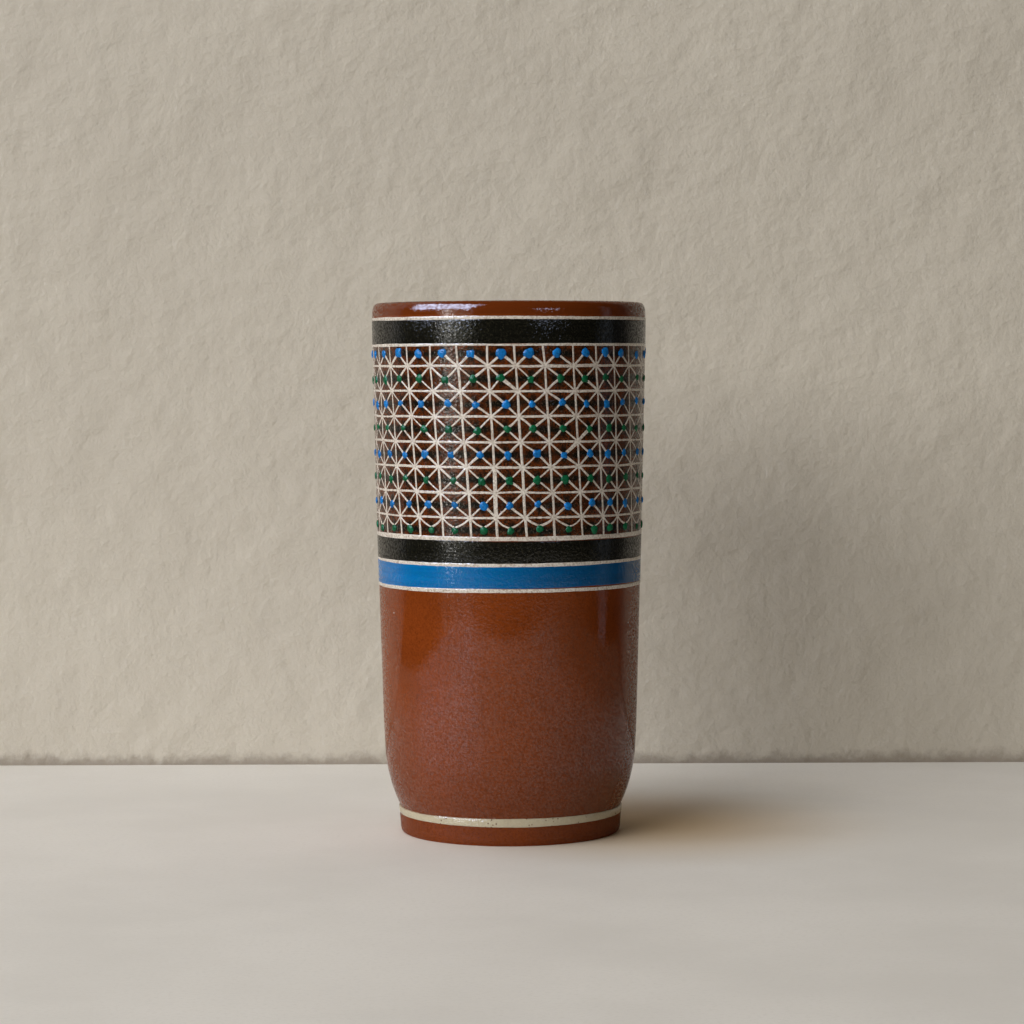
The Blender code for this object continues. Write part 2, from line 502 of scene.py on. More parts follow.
class Skin:
    """The glazed outer surface of the clay, which every painted layer follows."""

    def __init__(self, clay):
        coat = clay.glaze_coat
        self.clay = clay
        self.wall = [(radius + coat, height) for radius, height in cad_side("body_wall", 1)]
        self.foot = [(radius + coat, height) for radius, height in cad_side("foot_ring", 1)]
        self.wall_line = smooth_line(self.wall, SMOOTH_STEPS)
        self.foot_line = smooth_line(self.foot, SMOOTH_STEPS)
        self.radii, self.heights = np.array(self.foot_line + self.wall_line).T

    def drift(self, angle, height):
        """How far the hand-turned surface stands off its true outline."""
        rings = np.sin(height / 0.0029 + 1.6 * np.sin(angle)) + 0.6 * np.sin(height / 0.0047 - angle)
        oval = np.sin(2 * angle + 0.6) + 0.4 * np.sin(3 * angle + 40 * height)
        settled = np.clip((height - 0.012) / 0.02, 0, 1)
        return settled * (self.clay.ring_depth * rings + self.clay.out_of_round * oval)

    def radius(self, angle, height):
        """Radius of the surface at an angle and a height."""
        return np.interp(height, self.heights, self.radii) + self.drift(angle, height)

    def settle(self, piece):
        """Moves a truly round piece in or out with the hand-turned surface."""
        points = read_points(piece.data)
        angle = np.arctan2(points[:, 1], points[:, 0])
        radius = np.hypot(points[:, 0], points[:, 1])
        moved = np.maximum(radius + self.drift(angle, points[:, 2]), 0)
        points[:, 0] = moved * np.cos(angle)
        points[:, 1] = moved * np.sin(angle)
        write_points(piece.data, points)

    def wrap(self, piece):
        """Wraps a piece that was laid out flat, X across, -Y off the surface and Z up, round the wall."""
        points = read_points(piece.data)
        angle = FRONT + points[:, 0] / sheet_radius()
        radius = self.radius(angle, points[:, 2]) - points[:, 1]
        points[:, 0] = radius * np.cos(angle)
        points[:, 1] = radius * np.sin(angle)
        write_points(piece.data, points)


def sheet_radius():
    """Radius at which the flat layout is as wide as the wall: the middle of the lattice."""
    low, high = BOXES["lattice_net"]
    return (high.x - low.x) / 2


# Material recipes.


class Recipe:
    """One procedural material. Each method adds a node and returns its output."""

    def __init__(self, name):
        self.material = bpy.data.materials.new(name)
        self.material.use_nodes = True
        self.tree = self.material.node_tree
        self.shader = self.tree.nodes["Principled BSDF"]
        self.place = self.node("ShaderNodeTexCoord").outputs["Object"]

    def node(self, kind, **settings):
        """A new node with its settings."""
        node = self.tree.nodes.new(kind)
        for name, value in settings.items():
            setattr(node, name, value)
        return node

    def wire(self, socket, value):
        """Links an output to a socket, or sets the socket to a number or colour."""
        if isinstance(value, bpy.types.NodeSocket):
            self.tree.links.new(value, socket)
        else:
            socket.default_value = value

    def maths(self, operation, *values):
        """A Math node."""
        node = self.node("ShaderNodeMath", operation=operation)
        for socket, value in zip(node.inputs, values):
            self.wire(socket, value)
        return node.outputs[0]

    def fade(self, value, start, end, low=0.0, high=1.0):
        """A soft step from low to high as the value goes from start to end."""
        node = self.node("ShaderNodeMapRange", interpolation_type="SMOOTHSTEP")
        for socket, given in zip(node.inputs, (value, start, end, low, high)):
            self.wire(socket, given)
        return node.outputs[0]

    def axes(self):
        """The place across, in depth and in height."""
        node = self.node("ShaderNodeSeparateXYZ")
        self.wire(node.inputs[0], self.place)
        return node.outputs

    def noise(self, scale, detail=3.0, roughness=0.55, stretch=None):
        """Noise between 0 and 1, in features of about one over scale metres."""
        place = self.place
        if stretch:
            mapping = self.node("ShaderNodeMapping")
            self.wire(mapping.inputs["Vector"], place)
            self.wire(mapping.inputs["Scale"], stretch)
            place = mapping.outputs[0]
        node = self.node("ShaderNodeTexNoise")
        self.wire(node.inputs["Vector"], place)
        self.wire(node.inputs["Scale"], scale)
        self.wire(node.inputs["Detail"], detail)
        self.wire(node.inputs["Roughness"], roughness)
        return node.outputs["Fac"]

    def specks(self, spacing, size, share):
        """Small round specks: 1 inside a speck. share is how many of the cells hold one."""
        cells = self.node("ShaderNodeTexVoronoi", feature="F1")
        self.wire(cells.inputs["Vector"], self.place)
        self.wire(cells.inputs["Scale"], 1 / spacing)
        inside = self.fade(cells.outputs["Distance"], size / spacing, 0.5 * size / spacing)
        chosen = self.node("ShaderNodeSeparateColor")
        self.wire(chosen.inputs[0], cells.outputs["Color"])
        return self.maths("MULTIPLY", inside, self.maths("LESS_THAN", chosen.outputs[0], share))

    def mix(self, share, first, second):
        """A colour between two colours."""
        node = self.node("ShaderNodeMix", data_type="RGBA")
        self.wire(node.inputs["Factor"], share)
        self.wire(node.inputs[6], first)
        self.wire(node.inputs[7], second)
        return node.outputs[2]

    def shade_of(self, colour, amount):
        """A colour made lighter or darker: amount 1 leaves it alone."""
        return [min(1.0, part * amount) for part in colour[:3]] + [1.0]

    def bump(self, *layers):
        """Bumps from (height, size in metres) layers, one on the other."""
        normal = None
        for height, size in layers:
            node = self.node("ShaderNodeBump")
            self.wire(node.inputs["Height"], height)
            self.wire(node.inputs["Distance"], size)
            if normal:
                self.wire(node.inputs["Normal"], normal)
            normal = node.outputs[0]
        self.wire(self.shader.inputs["Normal"], normal)
        self.wire(self.shader.inputs["Coat Normal"], normal)

    def glaze(self, colour, roughness=0.42, coat_roughness=0.035, coat=1.0):
        """Colour under a clear glossy coat, which is finely uneven."""
        shader = self.shader
        patchy = self.fade(self.noise(FINE_GRAIN, detail=1.5, roughness=0.7), 0.36, 0.64, 0.3, 1.0)
        coat = self.maths("MULTIPLY", patchy, coat)
        self.wire(shader.inputs["Base Color"], colour)
        self.wire(shader.inputs["Roughness"], roughness)
        self.wire(shader.inputs["Coat Weight"], coat)
        self.wire(shader.inputs["Coat Roughness"], coat_roughness)
        self.wire(shader.inputs["Coat IOR"], 1.62)
        self.wire(shader.inputs["Specular IOR Level"], 0.0)

    def paint_side_shade(self, left, right, dark):
        """Paints shade into the base colour to the left and to the right, past what the camera sees. left
        and right say where the painted shade starts and ends."""
        across = self.axes()[0]
        painted_side_shade = self.maths("ADD", self.fade(across, -left[0], -left[1]), self.fade(across, *right))
        colour = self.shader.inputs["Base Color"]
        self.wire(colour, self.mix(painted_side_shade, colour.links[0].from_socket, dark))

    def glaze_grain(self, fine=1.0, where=1.0):
        """The glaze's surface: slow pooling, faint orange peel, and the fine grain that it has over slip,
        which makes lights sparkle. where is how strong the grain is: 1 on slip, and little on plain
        clay."""
        pooling = self.noise(60, detail=1.0)
        peel = self.noise(420, detail=1.0)
        grain = self.maths("MULTIPLY", self.noise(SURFACE_GRAIN, detail=1.5, roughness=0.7), where)
        self.bump((pooling, 0.00003), (peel, 0.000004), (grain, 0.00014 * fine))


def band_height(node):
    """The lower and the upper edge of a band."""
    low, high = BOXES[node]
    return low.z, high.z


def row_height(row):
    """The height of a row of dots."""
    low, high = BOXES[DOT_ROWS[row]]
    return (low.z + high.z) / 2


def terracotta_recipe(name, colours):
    """Red clay under clear glaze: slow mottling, dark iron specks and a rare pale grit. Painted shade
    makes it darker towards the foot and on its right side, away from the window."""
    recipe = Recipe(name)
    across, _, height = recipe.axes()
    slow = recipe.noise(45, detail=3.0)
    fine = recipe.noise(420, detail=4.0, roughness=0.7)
    speckle = recipe.noise(1300, detail=2.0, roughness=0.8)
    iron = recipe.specks(0.0021, 0.00028, 0.55)
    # Painted shade: darker on the right side, away from the window, and towards the foot, where less lit
    # bench is mirrored.
    painted_shade_right = recipe.fade(across, -0.03, 0.03, 0, 0.20)
    painted_shade_foot = recipe.fade(height, 0.060, 0.012, 0, 0.22)
    clay = recipe.mix(
        recipe.fade(slow, 0.3, 0.7),
        recipe.shade_of(colours.terracotta, 0.93),
        recipe.shade_of(colours.terracotta, 1.06),
    )
    darkenings = (
        (recipe.fade(fine, 0.52, 0.75, 0, 0.45), 0.5),
        (recipe.fade(speckle, 0.42, 0.66, 0, 0.43), 0.35),
        (recipe.maths("MULTIPLY", iron, 0.45), 0.3),
        (recipe.maths("ADD", painted_shade_foot, painted_shade_right), 0.25),
    )
    for share, amount in darkenings:
        clay = recipe.mix(share, clay, recipe.shade_of(colours.terracotta, amount))
    grit = recipe.specks(0.011, 0.0005, 0.10)
    clay = recipe.mix(recipe.maths("MULTIPLY", grit, 0.8), clay, recipe.shade_of(colours.cream, 0.9))
    return recipe, clay


def wall_material(colours, painting):
    """The wall: plain terracotta, darker on the lip, and inside the lattice a darker ground with dark
    soft strokes that run through every row and every column of dots. The vase's inside has none of
    the ground."""
    recipe, clay = terracotta_recipe("glazed_terracotta", colours)
    across, depth, height = recipe.axes()

    low = band_height("lattice_bottom_line")[1]
    high = band_height("lattice_top_line")[0]
    pitch = (row_height(0) - row_height(len(DOT_ROWS) - 1)) / (len(DOT_ROWS) - 1)
    smear = recipe.noise(420, detail=3.0, roughness=0.7)
    wander = recipe.maths("MULTIPLY", recipe.maths("SUBTRACT", smear, 0.5), 0.0022)
    drifting_height = recipe.maths("ADD", height, wander)

    rows_down = recipe.maths("DIVIDE", recipe.maths("SUBTRACT", row_height(0), drifting_height), pitch)
    row_share = recipe.maths("SUBTRACT", recipe.maths("FRACT", recipe.maths("ADD", rows_down, 0.5)), 0.5)
    off_row = recipe.maths("MULTIPLY", recipe.maths("ABSOLUTE", row_share), pitch)

    turn = recipe.maths("ARCTAN2", across, recipe.maths("MULTIPLY", depth, -1.0))
    sunk = recipe.maths("DIVIDE", recipe.maths("SUBTRACT", high, height), high - low)
    leaning = recipe.maths("SUBTRACT", turn, recipe.maths("MULTIPLY", sunk, painting.lean))
    columns_along = recipe.maths(
        "MULTIPLY",
        recipe.maths("SUBTRACT", leaning, painting.first_column),
        painting.columns / math.tau,
    )
    column_share = recipe.maths("SUBTRACT", recipe.maths("FRACT", columns_along), 0.5)
    cell_width = sheet_radius() * math.tau / painting.columns
    off_column = recipe.maths(
        "ADD", recipe.maths("MULTIPLY", recipe.maths("ABSOLUTE", column_share), cell_width), wander
    )

    row_stroke = recipe.fade(off_row, 0.0025, 0.0004)
    along_row = recipe.maths("MULTIPLY", row_stroke, recipe.fade(recipe.noise(170), 0.36, 0.56, 0.4, 1.0))
    column_stroke = recipe.fade(off_column, 0.0022, 0.0004)
    near_row = recipe.fade(off_row, 0.0044, 0.0018, 0, 0.85)
    along_column = recipe.maths("MULTIPLY", column_stroke, near_row)
    mottle = recipe.noise(1350, detail=3.0, roughness=0.8)
    dry = recipe.maths("MULTIPLY", recipe.maths("SUBTRACT", mottle, 0.5), 2.0)
    strokes = recipe.maths("ADD", recipe.maths("MAXIMUM", along_row, along_column), dry)
    strokes = recipe.fade(strokes, 0.1, 1.05)

    ground = recipe.mix(
        recipe.fade(mottle, 0.40, 0.64),
        (0.017, 0.010, 0.005, 1.0),
        recipe.shade_of(colours.terracotta, 0.8),
    )
    ground = recipe.mix(strokes, ground, list(colours.dark_stroke))
    dust = recipe.fade(recipe.noise(FINE_GRAIN, detail=2.0, roughness=0.8), 0.54, 0.66, 0, 0.35)
    ground = recipe.mix(dust, ground, (0.16, 0.10, 0.06, 1.0))
    brow = band_height("rim_line")[1]
    lip = recipe.fade(height, brow, brow + 0.001)
    clay = recipe.mix(lip, clay, recipe.shade_of(colours.terracotta, 0.62))
    netted = recipe.maths(
        "MULTIPLY", recipe.fade(height, low - 0.0003, low), recipe.fade(height, high + 0.0003, high)
    )
    across_squared = recipe.maths("MULTIPLY", across, across)
    square = recipe.maths("ADD", across_squared, recipe.maths("MULTIPLY", depth, depth))
    middle = sheet_radius() - 0.003
    outside = recipe.maths("GREATER_THAN", square, middle * middle)
    netted = recipe.maths("MULTIPLY", netted, outside)
    recipe.glaze(recipe.mix(netted, clay, ground))
    slipped = recipe.fade(height, band_height("blue_lower_line")[0] - 0.02, low, 0.06, 1.0)
    recipe.glaze_grain(where=recipe.maths("SUBTRACT", slipped, recipe.fade(height, high, brow, 0, 0.62)))
    return recipe.material


def foot_material(colours):
    """The foot's glazed terracotta, worn bare and matt where it rests."""
    recipe, clay = terracotta_recipe("foot_terracotta", colours)
    height = recipe.axes()[2]
    wear = recipe.maths("ADD", height, recipe.maths("MULTIPLY", recipe.noise(500), 0.0006))
    bare = recipe.fade(wear, 0.0010, 0.0003)
    recipe.glaze(
        recipe.mix(bare, clay, recipe.shade_of(colours.terracotta, 1.5)),
        roughness=recipe.fade(bare, 0, 1, 0.45, 0.85),
        coat=recipe.fade(bare, 0, 1, 0.45, 0.0),
    )
    recipe.glaze_grain(where=0.3)
    return recipe.material


def bare_clay_material(colours):
    """Unglazed clay, gritty and finely rough."""
    recipe = Recipe("bare_clay")
    slow = recipe.noise(60, detail=4.0)
    colour = recipe.mix(
        slow, recipe.shade_of(colours.terracotta, 1.25), recipe.shade_of(colours.terracotta, 1.9)
    )
    grit = recipe.specks(0.0016, 0.00035, 0.5)
    dark = recipe.shade_of(colours.terracotta, 0.5)
    colour = recipe.mix(recipe.maths("MULTIPLY", grit, 0.5), colour, dark)
    recipe.wire(recipe.shader.inputs["Base Color"], colour)
    recipe.wire(recipe.shader.inputs["Roughness"], 0.85)
    recipe.bump((recipe.noise(1400, detail=4.0), 0.00008), (grit, 0.00005))
    return recipe.material


def lining_material(colours):
    """The glaze inside, deeper in colour where it has pooled and run."""
    recipe = Recipe("lining_glaze")
    runs = recipe.noise(70, detail=3.0, stretch=(1, 1, 0.15))
    spots = recipe.noise(900, detail=3.0, roughness=0.7)
    colour = recipe.mix(
        recipe.fade(runs, 0.35, 0.65),
        recipe.shade_of(colours.terracotta, 0.55),
        recipe.shade_of(colours.terracotta, 0.95),
    )
    dark = recipe.shade_of(colours.terracotta, 0.3)
    colour = recipe.mix(recipe.fade(spots, 0.55, 0.75, 0, 0.5), colour, dark)
    recipe.glaze(colour, coat_roughness=0.08)
    recipe.glaze_grain(0.7)
    return recipe.material


def cream_material(name, cream, clay, pits=0.0, bare=0.75):
    """Cream slip with the clay showing faintly through. pits is the share of spots that are pitted
    where the slip was scuffed, and bare is how much of the clay shows."""
    recipe = Recipe(name)
    thin = recipe.noise(1200, detail=3.0, roughness=0.8)
    slow = recipe.noise(160, detail=2.0)
    fine_wear = recipe.fade(thin, 0.43, 0.64, 0, bare)
    worn = recipe.maths("ADD", fine_wear, recipe.fade(slow, 0.4, 0.75, 0, 0.18))
    colour = recipe.mix(worn, list(cream), [0.36, 0.28, 0.22, 1.0])
    scuffed = recipe.maths("GREATER_THAN", recipe.noise(95, detail=2.0), 0.56)
    holes = recipe.maths("MULTIPLY", recipe.specks(0.0011, 0.00036, pits), scuffed)
    colour = recipe.mix(holes, colour, recipe.shade_of(clay, 0.35))
    recipe.glaze(colour, roughness=0.5, coat_roughness=0.1)
    recipe.glaze_grain(1.3)
    return recipe.material


def band_material(name, colour, streak, tint, deeper=0.0):
    """Slip of a wide band, brushed on round the vase, with fine specks of another tint in it. streak is
    how far the brush marks vary, and deeper is how much painted shade darkens it on the right side,
    away from the window."""
    recipe = Recipe(name)
    brush = recipe.noise(160, detail=4.0, stretch=(0.25, 0.25, 5.0))
    body = recipe.mix(
        recipe.fade(brush, 0.3, 0.7),
        recipe.shade_of(colour, 1 - streak),
        recipe.shade_of(colour, 1 + streak),
    )
    spots = recipe.noise(1200, detail=2.0, roughness=0.75)
    body = recipe.mix(recipe.fade(spots, 0.48, 0.74, 0, 0.7), body, tint)
    # Painted shade: the band is made darker towards its right side, away from the window.
    painted_right_shade = recipe.fade(recipe.axes()[0], -0.03, 0.03, 0, deeper)
    recipe.glaze(recipe.mix(painted_right_shade, body, recipe.shade_of(colour, 0.15)))
    recipe.glaze_grain()
    return recipe.material


def dot_material(name, colour):
    """Thick enamel, darker in some dots than in others and mottled all over."""
    recipe = Recipe(name)
    pool = recipe.noise(180, detail=2.0)
    mottle = recipe.noise(1500, detail=3.0, roughness=0.75)
    body = recipe.mix(
        recipe.fade(pool, 0.3, 0.7), recipe.shade_of(colour, 0.75), recipe.shade_of(colour, 1.25)
    )
    body = recipe.mix(recipe.fade(mottle, 0.42, 0.7, 0, 0.75), body, recipe.shade_of(colour, 0.3))
    recipe.glaze(body, coat_roughness=0.2, coat=0.4)
    recipe.glaze_grain(2.0)
    return recipe.material


def paper_material(name, light, dark, roughness, bumps):
    """A matt studio surface, faintly cloudy and uneven. Gives its recipe, to add to."""
    recipe = Recipe(name)
    cloudy = recipe.noise(9, detail=4.0)
    fine = recipe.noise(600, detail=3.0, roughness=0.7)
    colour = recipe.mix(recipe.fade(cloudy, 0.3, 0.7, 0, 0.7), light, dark)
    colour = recipe.mix(recipe.fade(fine, 0.45, 0.75, 0, 0.6), colour, dark)
    recipe.wire(recipe.shader.inputs["Base Color"], colour)
    recipe.wire(recipe.shader.inputs["Roughness"], roughness)
    rough = recipe.noise(170, detail=4.0, roughness=0.7)
    recipe.bump((recipe.noise(40, detail=5.0), bumps), (rough, 0.2 * bumps))
    return recipe


# The clay pieces.


class VASE_OT_turn_wall(bpy.types.Operator):
    """Turns the wall, from the waist over the lip and down inside"""

    bl_idname = "vase.turn_wall"
    bl_label = "Turn Wall"

    def execute(self, context):
        scene = context.scene
        clay = scene.vase_clay
        skin = Skin(clay)
        inner = spaced(cad_side("body_wall", -1), LONGEST_RUN)
        top = skin.wall[-1][1]
        lip = top - clay.lip_height
        outline = [
            (radius, height + clay.glaze_coat * np.clip((height - lip) / (top - lip), 0, 1))
            for radius, height in smooth_line(skin.wall + inner[::-1], SMOOTH_STEPS)
        ]
        wall = turn_outline("turned_wall", outline, scene.vase_clay.segments)
        skin.settle(wall)
        material = wall_material(scene.vase_colours, scene.vase_painting)
        finish_piece(wall, material, ["body_wall"])
        return {"FINISHED"}


class VASE_OT_turn_foot(bpy.types.Operator):
    """Turns the foot ring with its rounded edge and its seat"""

    bl_idname = "vase.turn_foot"
    bl_label = "Turn Foot"

    def execute(self, context):
        scene = context.scene
        skin = Skin(scene.vase_clay)
        top = band_height("body_wall")[0]
        inner = cad_side("foot_ring", -1)
        outline = [(skin.foot_line[-1][0], top)] + skin.foot_line[::-1] + inner
        foot = turn_outline("turned_foot", outline, scene.vase_clay.segments)
        finish_piece(foot, foot_material(scene.vase_colours), ["foot_ring"])
        return {"FINISHED"}


class VASE_OT_lay_floor(bpy.types.Operator):
    """Lays the floor slab, with the turning marks under it"""

    bl_idname = "vase.lay_floor"
    bl_label = "Lay Floor"

    def execute(self, context):
        scene = context.scene
        low, high = BOXES["floor_slab"]
        radius = high.x
        outline = [(radius, high.z), (radius, low.z)]
        marks = 11
        mark_depth = 0.00018
        for mark in range(marks):
            share = 1 - (mark + 0.5) / marks
            groove = mark_depth if mark % 2 else 0.0
            outline.append((radius * share, low.z + groove))
        slab = turn_outline("floor_slab_turned", outline, 96, ends="FILL")
        finish_piece(slab, bare_clay_material(scene.vase_colours), ["floor_slab"])
        return {"FINISHED"}


class VASE_OT_line_inside(bpy.types.Operator):
    """Lines the inside with glaze that thins out at the lip"""

    bl_idname = "vase.line_inside"
    bl_label = "Line Inside"

    def execute(self, context):
        scene = context.scene
        wall_side = spaced(cad_side("body_wall", -1), LONGEST_RUN)
        low, high = BOXES["inside_glaze"]
        glaze_side = [point for point in cad_side("inside_glaze", -1) if point[1] < high.z - TINY]
        floor = low.z + scene.vase_clay.glaze_coat
        pool = [(share * glaze_side[0][0], floor) for share in (0.01, 0.35, 0.7)]
        rim = wall_side[-2]
        glaze_line = smooth_line(spaced(pool + glaze_side, LONGEST_RUN) + [rim], SMOOTH_STEPS)
        clay_line = smooth_line(wall_side[:-1], SMOOTH_STEPS)[::-1]
        bottom = band_height("floor_slab")[1]
        under = [(share * clay_line[-1][0], bottom) for share in (0.7, 0.01)]
        outline = glaze_line + clay_line[1:] + under
        lining = turn_outline("glaze_lining", outline, scene.vase_clay.segments // 2, ends="FILL")
        Skin(scene.vase_clay).settle(lining)
        finish_piece(lining, lining_material(scene.vase_colours), ["inside_glaze"])
        return {"FINISHED"}


# The painted bands.


class Hand:
    """A steady but human hand: small seeded irregularities."""

    def __init__(self, seed):
        self.random = np.random.default_rng(seed)

    def wander(self, angle, amount):
        """A slow stray round the vase, with a finer tremble on it, that closes on itself."""
        stray = np.zeros_like(angle)
        for waves, share in STRAY_WAVES:
            stray += share * np.sin(waves * angle + self.random.uniform(0, math.tau))
        return amount * stray

    def around(self, value, share):
        """A value that varies by up to that share."""
        return value * (1 + self.random.uniform(-share, share))

    def stray(self, amount):
        """A small offset either way."""
        return self.random.normal(0, amount)


def paint_band(
    skin, painting, hand, name, span, thickness, material, node, wander=1.0, swell=0.0, short=(0, 0)
):
    """One band or line of slip: turned true, then its two edges wander and it settles on the clay.
    swell makes it wider at the vase's front and narrower at its back. short is how far its lower and
    its upper edge are drawn in at the front right, where a hair of clay shows beside the cream line."""
    low, high = span
    sunk = -BEDDING
    shoulder = min(0.00022, (high - low) / 4)
    section = [
        (high, sunk),
        (high, thickness * 0.5),
        (high - shoulder, thickness * 0.9),
        (high - 1.6 * shoulder, thickness),
        (low + 1.6 * shoulder, thickness),
        (low + shoulder, thickness * 0.9),
        (low, thickness * 0.5),
        (low, sunk),
    ]
    outline = [(np.interp(z, skin.heights, skin.radii) + lift, z) for z, lift in section]
    band = turn_outline(name, outline, skin.clay.segments)

    points = read_points(band.data)
    angle = np.arctan2(points[:, 1], points[:, 0])
    upper_edge = hand.wander(angle, painting.edge_wander * wander)
    lower_edge = hand.wander(angle, painting.edge_wander * wander)
    share = (points[:, 2] - low) / (high - low)
    fuller = swell * np.cos(angle - FRONT)
    bare = np.clip(np.cos(angle - FRONT - math.radians(40)), 0, 1)
    upper_edge += fuller - short[1] * bare
    lower_edge += short[0] * bare - fuller
    points[:, 2] += share * upper_edge + (1 - share) * lower_edge
    write_points(band.data, points)
    skin.settle(band)
    finish_piece(band, material, [node])
    return band


class VASE_OT_paint_bands(bpy.types.Operator):
    """Paints the black and blue bands and the cream lines that edge them"""

    bl_idname = "vase.paint_bands"
    bl_label = "Paint Bands"

    def execute(self, context):
        scene = context.scene
        painting = scene.vase_painting
        colours = scene.vase_colours
        skin = Skin(scene.vase_clay)
        hand = Hand(painting.seed)
        wide = painting.band_overlap
        olive = (0.030, 0.027, 0.017, 1.0)
        sky = (0.004, 0.19, 0.40, 1.0)
        black = band_material("glazed_black_slip", colours.black, 0.25, olive)
        blue = band_material("glazed_blue_slip", colours.blue, 0.12, sky, deeper=0.62)
        gap = 0.0006
        bands = (
            ("black_band_upper", "upper_black_band", black, "black_slip", (0, 0)),
            ("black_band_lower", "lower_black_band", black, "black_slip", (0, gap)),
            ("blue_band_painted", "blue_band", blue, "blue_slip", (gap, 0)),
        )
        thickness = painting.band_thickness
        for name, node, material, slot, short in bands:
            low, high = band_height(node)
            span = (low - wide, high + wide)
            paint_band(skin, painting, hand, name, span, thickness, material, node, short=short)
        cream = cream_material("glazed_cream_slip", colours.cream, colours.terracotta)
        grow = painting.line_growth
        lines = (
            ("cream_rim_line", "rim_line", -grow),
            ("cream_lattice_top", "lattice_top_line", -grow),
            ("cream_lattice_bottom", "lattice_bottom_line", 1.8 * grow),
            ("cream_line_under_black", "black_lower_line", grow),
            ("cream_line_under_blue", "blue_lower_line", grow),
        )
        for name, node, growth in lines:
            low, high = band_height(node)
            span = (low - growth, high + growth)
            thickness = painting.line_thickness
            paint_band(skin, painting, hand, name, span, thickness, cream, node)
        scuffed = cream_material(
            "scuffed_cream_slip", colours.foot_cream, colours.terracotta, pits=0.6, bare=0.2
        )
        low, high = band_height("foot_line")
        swell = 0.0003
        paint_band(
            skin,
            painting,
            hand,
            "cream_foot_line",
            (low, high + swell),
            painting.line_thickness,
            scuffed,
            "foot_line",
            wander=0.7,
            swell=swell,
        )
        return {"FINISHED"}


# The lattice and its dots.


class Lattice:
    """Where the hand put each crossing and each dot, on the flat layout."""

    def __init__(self, painting):
        hand = Hand(painting.seed + 1)
        self.columns = painting.columns
        self.rows = len(DOT_ROWS)
        self.top = band_height("lattice_top_line")[0]
        self.bottom = band_height("lattice_bottom_line")[1]
        self.painting = painting
        self.width = sheet_radius() * math.tau / self.columns
        stray = [(hand.stray(0.2), hand.stray(0.2)) for column in range(self.columns)]
        for column, known in STRAYED_COLUMNS.items():
            stray[column] = known
        self.crossings = {}
        self.dots = {}
        between = [(row_height(row) + row_height(row + 1)) / 2 for row in range(self.rows - 1)]
        heights = [self.top, *between, self.bottom]
        for column in range(self.columns):
            for ring, height in enumerate(heights):
                up_down = 0.00010 if 0 < ring < self.rows else 0.0
                share = ring / self.rows
                out = (stray[column][0] * (1 - share) + stray[column][1] * share) * MILLIMETRE
                along = self.across(column, height) + out + hand.stray(0.00012)
                self.crossings[column, ring] = np.array([along, height + hand.stray(up_down)])
        for column in range(self.columns):
            for row in range(self.rows):
                corners = ((0, 0), (0, 1), (1, 0), (1, 1))
                beside = [self.crossing(column + side, row + end)[0] for side, end in corners]
                along = sum(beside) / 4 + np.clip(hand.stray(0.0004), -0.0008, 0.0008)
                self.dots[column, row] = np.array([along, row_height(row) + hand.stray(0.00028)])

    def from_front(self, column):
        """A column's number counted from the front: those past two thirds of the way round count back
        from it, below 0."""
        return column - self.columns if column > self.columns * 2 / 3 else column

    def across(self, column, height):
        """The place of a column line on the flat layout at a height."""
        sunk = (self.top - height) / (self.top - self.bottom)
        turn = self.painting.first_column + sunk * self.painting.lean
        return sheet_radius() * turn + column * self.width

    def crossing(self, column, ring):
        """A crossing's place. Past the last column the layout starts again."""
        laps, column = divmod(column, self.columns)
        return self.crossings[column, ring] + (laps * self.columns * self.width, 0)

    def dot(self, column, row):
        """A dot's place. Past the last column the layout starts again."""
        laps, column = divmod(column, self.columns)
        return self.dots[column, row] + (laps * self.columns * self.width, 0)


# Columns near the front that the hand put out of true, by how many millimetres at the lattice's top
# and bottom. They are counted from the front, to the left below 0.
STRAYED_COLUMNS = {
    -5: (-1.2, -0.1),
    -4: (-1.1, -0.3),
    -3: (-0.3, -0.3),
    -2: (0.2, 0.5),
    -1: (1.1, -0.4),
    0: (0.0, -0.4),
    2: (0.6, 0.8),
    4: (-1.5, -1.9),
    5: (-2.8, -1.4),
}

# The few strokes that came out heavy, as (column, ring, way) from a crossing, and how heavy.
HEAVY_STROKES = {
    (2, 4, "down_left"): 2.1,
    (2, 4, "up_right"): 2.0,
    (-1, 6, "down"): 1.7,
    (-1, 5, "down"): 1.5,
    (1, 1, "right"): 1.4,
    (2, 1, "right"): 1.4,
    (0, 2, "up_left"): 1.5,
    (-1, 2, "down_right"): 1.4,
    (3, 5, "down_left"): 1.4,
}


def model_stroke():
    """One stroke, a unit long along X, a unit wide along Z and half a unit deep along -Y, with blunt
    soft tips."""
    deselect_all()
    bpy.ops.mesh.primitive_cylinder_add(
        vertices=10, radius=0.5, depth=1, end_fill_type="NGON", rotation=(0, math.pi / 2, 0)
    )
    stroke = take_primitive("stroke")
    bpy.ops.mesh.select_all(action="SELECT")
    bpy.ops.mesh.bisect(plane_co=(0, 0, 0), plane_no=(0, 1, 0), clear_outer=True, use_fill=True)
    for station in (-0.44, -0.25, 0.0, 0.25, 0.44):
        bpy.ops.mesh.select_all(action="SELECT")
        bpy.ops.mesh.bisect(plane_co=(station, 0, 0), plane_no=(1, 0, 0))
    close_edit()
    for corner in stroke.data.vertices:
        if abs(corner.co.x) > 0.49:
            corner.co.z *= 0.62
            corner.co.y *= 0.55
    return stroke


def model_dot():
    """One dot, a unit wide across X and Z and half a unit deep along -Y, with a flat back."""
    deselect_all()
    bpy.ops.mesh.primitive_uv_sphere_add(
        segments=14, ring_count=6, radius=0.5, rotation=(math.pi / 2, 0, 0)
    )
    dot = take_primitive("dot")
    bpy.ops.mesh.select_all(action="SELECT")
    bpy.ops.mesh.bisect(plane_co=(0, 0, 0), plane_no=(0, 1, 0), clear_outer=True, use_fill=True)
    close_edit()
    return dot


